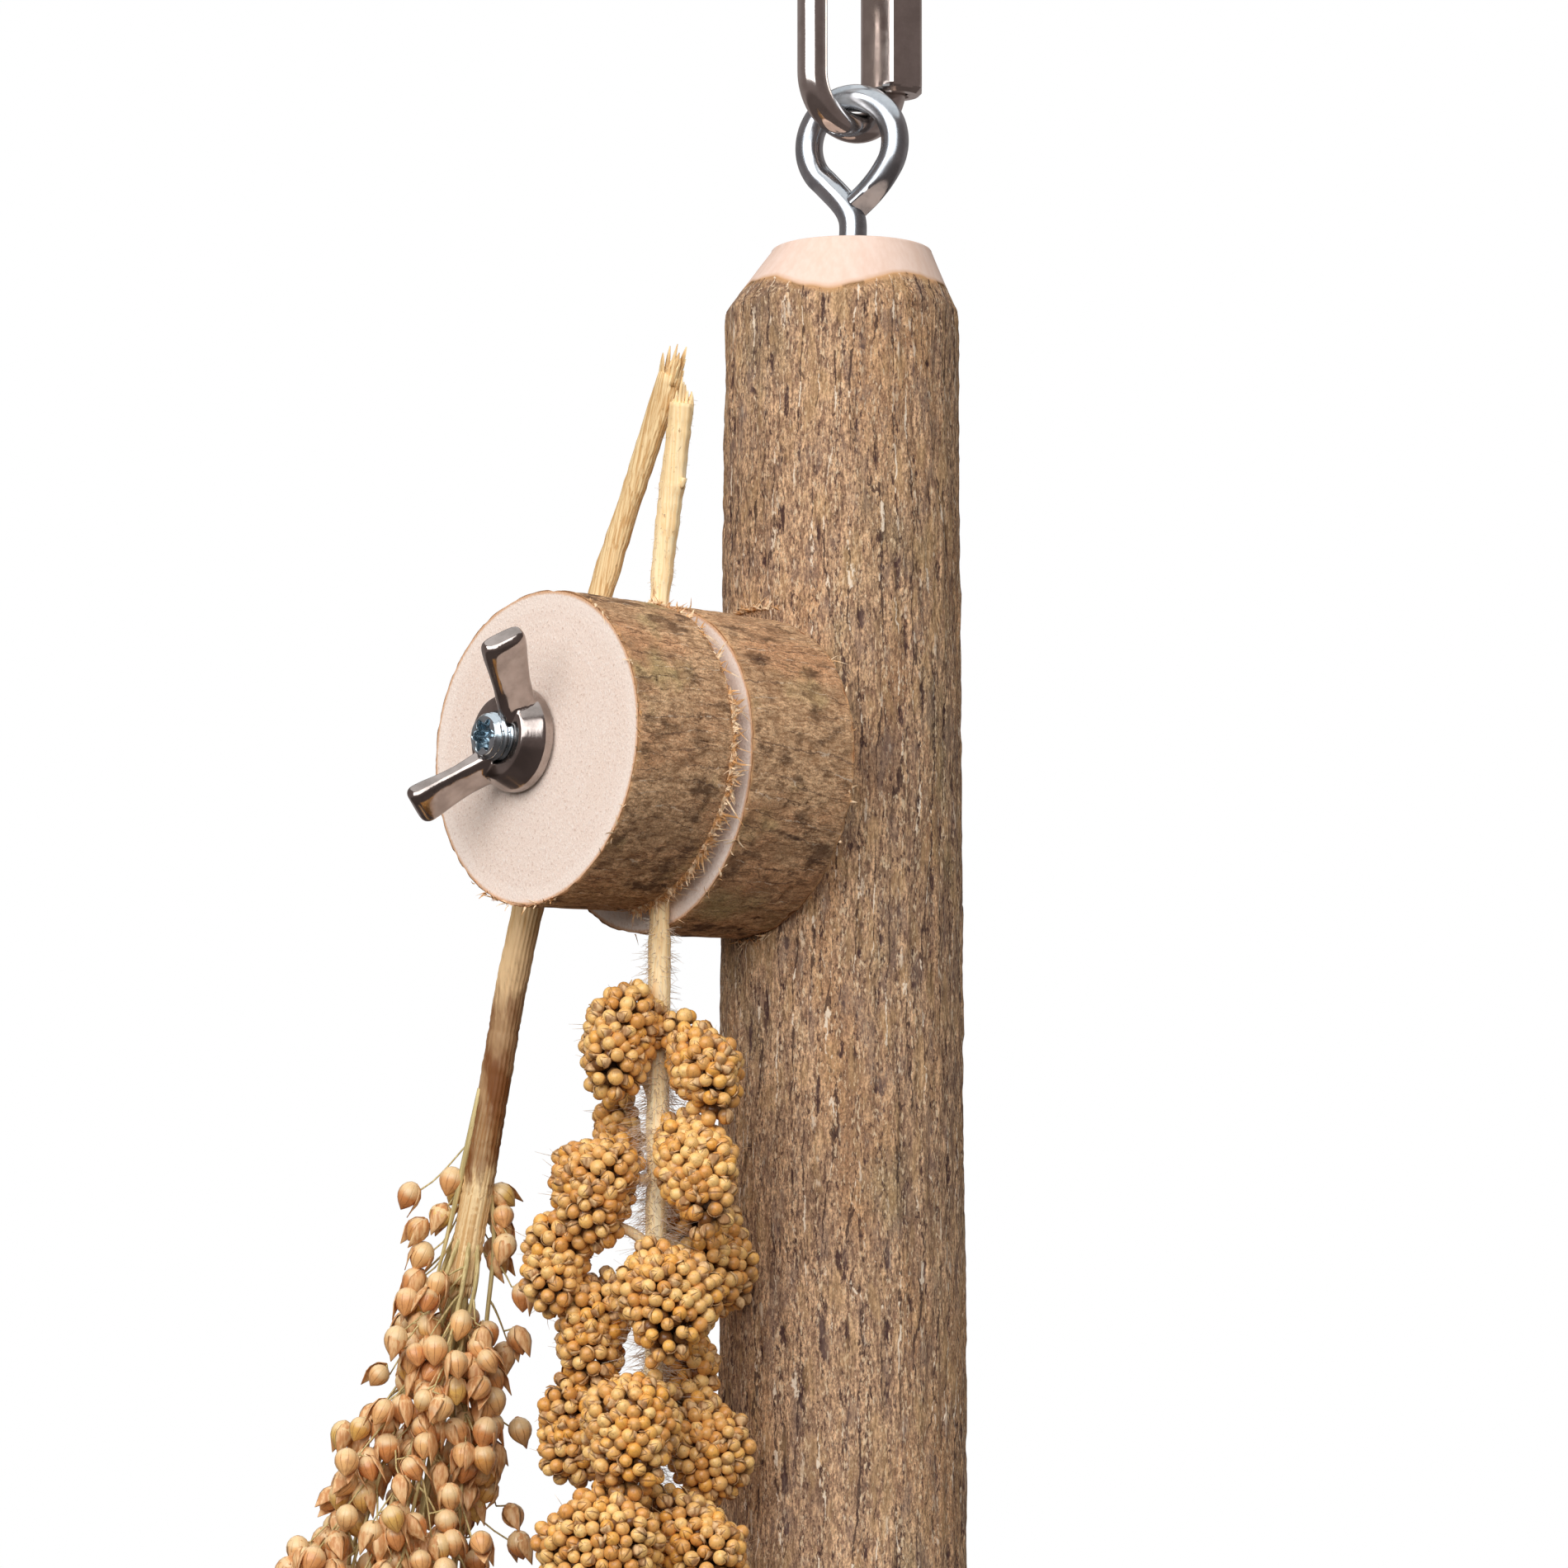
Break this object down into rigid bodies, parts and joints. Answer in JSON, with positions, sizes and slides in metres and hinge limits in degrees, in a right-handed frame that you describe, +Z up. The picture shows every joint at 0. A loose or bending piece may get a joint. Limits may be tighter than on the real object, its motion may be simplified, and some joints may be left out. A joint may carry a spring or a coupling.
{
  "type": "bird millet holder",
  "caption": "Hanging bark-on branch with a wing-nut clamp of two wooden discs that holds millet stalks, hung by a screw eye and a quick link; foxtail and proso millet are clamped in it.",
  "frame": {"origin": "top inside of the quick link, where it hangs on a cage bar", "axes": "+Z up along the branch, -Y the side of the clamp with its wing nut, +X to the right seen from the clamp side"},
  "size_m": [0.0908, 0.0763, 0.3011],
  "materials": {
    "branch_bark": "rough hazel-type bark, pale peeled wood at the tapered top",
    "disc_bark": "smoother bark around pale sawn end grain",
    "polished_steel": "polished stainless steel",
    "zinc_steel": "bright zinc plate",
    "straw": "dry straw",
    "foxtail_seed": "dry seed, satin",
    "proso_seed": "dry seed, satin"
  },
  "bodies": {
    "link": {"quick_link": "polished_steel"},
    "sleeve": {"link_sleeve": "polished_steel"},
    "holder": {"branch": "branch_bark", "screw_eye": "zinc_steel", "rear_disc": "disc_bark", "hanger_bolt": "zinc_steel"},
    "clamp": {"front_disc": "disc_bark"},
    "nut": {"wing_nut": "polished_steel"},
    "foxtail": {"foxtail_stem": "straw", "foxtail_lobe_1": "foxtail_seed", "foxtail_lobe_2": "foxtail_seed", "foxtail_lobe_3": "foxtail_seed", "foxtail_lobe_4": "foxtail_seed", "foxtail_lobe_5": "foxtail_seed", "foxtail_lobe_6": "foxtail_seed", "foxtail_lobe_7": "foxtail_seed", "foxtail_lobe_8": "foxtail_seed", "foxtail_lobe_9": "foxtail_seed", "foxtail_lobe_10": "foxtail_seed", "foxtail_lobe_11": "foxtail_seed", "foxtail_lobe_12": "foxtail_seed", "foxtail_lobe_13": "foxtail_seed", "foxtail_lobe_14": "foxtail_seed", "foxtail_lobe_15": "foxtail_seed", "foxtail_lobe_16": "foxtail_seed", "foxtail_lobe_17": "foxtail_seed", "foxtail_lobe_18": "foxtail_seed", "foxtail_lobe_19": "foxtail_seed", "foxtail_lobe_20": "foxtail_seed", "foxtail_lobe_21": "foxtail_seed"},
    "proso": {"proso_stem": "straw", "proso_branch_1": "proso_seed", "proso_branch_2": "proso_seed", "proso_branch_3": "proso_seed", "proso_branch_4": "proso_seed", "proso_branch_5": "proso_seed", "proso_branch_6": "proso_seed", "proso_branch_7": "proso_seed", "proso_branch_8": "proso_seed", "proso_branch_9": "proso_seed", "proso_branch_10": "proso_seed", "proso_branch_11": "proso_seed", "proso_branch_12": "proso_seed"}
  },
  "joints": [
    {"name": "sleeve_slide", "type": "slide", "parent": "link", "child": "sleeve", "axis": [0, 0, 1], "range_m": [0, 0.0075]},
    {"name": "swing", "type": "hinge", "parent": "link", "child": "holder", "pos_m": [0, 0, -0.0318], "axis": [0, 1, 0], "range_deg": [-34, 50]},
    {"name": "clamp_slide", "type": "slide", "parent": "holder", "child": "clamp", "axis": [0, -1, 0], "range_m": [0, 0.005]},
    {"name": "nut_turn", "type": "hinge", "parent": "clamp", "child": "nut", "pos_m": [-0.0034, -0.05, -0.11525], "axis": [0, -1, 0], "range_deg": [0, 1800]},
    {"name": "foxtail_pull", "type": "slide", "parent": "holder", "child": "foxtail", "axis": [0, 0, -1], "range_m": [0, 0.065]},
    {"name": "proso_pull", "type": "slide", "parent": "holder", "child": "proso", "axis": [-0.347, 0, -0.9379], "range_m": [0, 0.07]}
  ],
  "couplings": [
    {"joint": "clamp_slide", "follows": "nut_turn", "m_per_rad": 0.00015915}
  ]
}
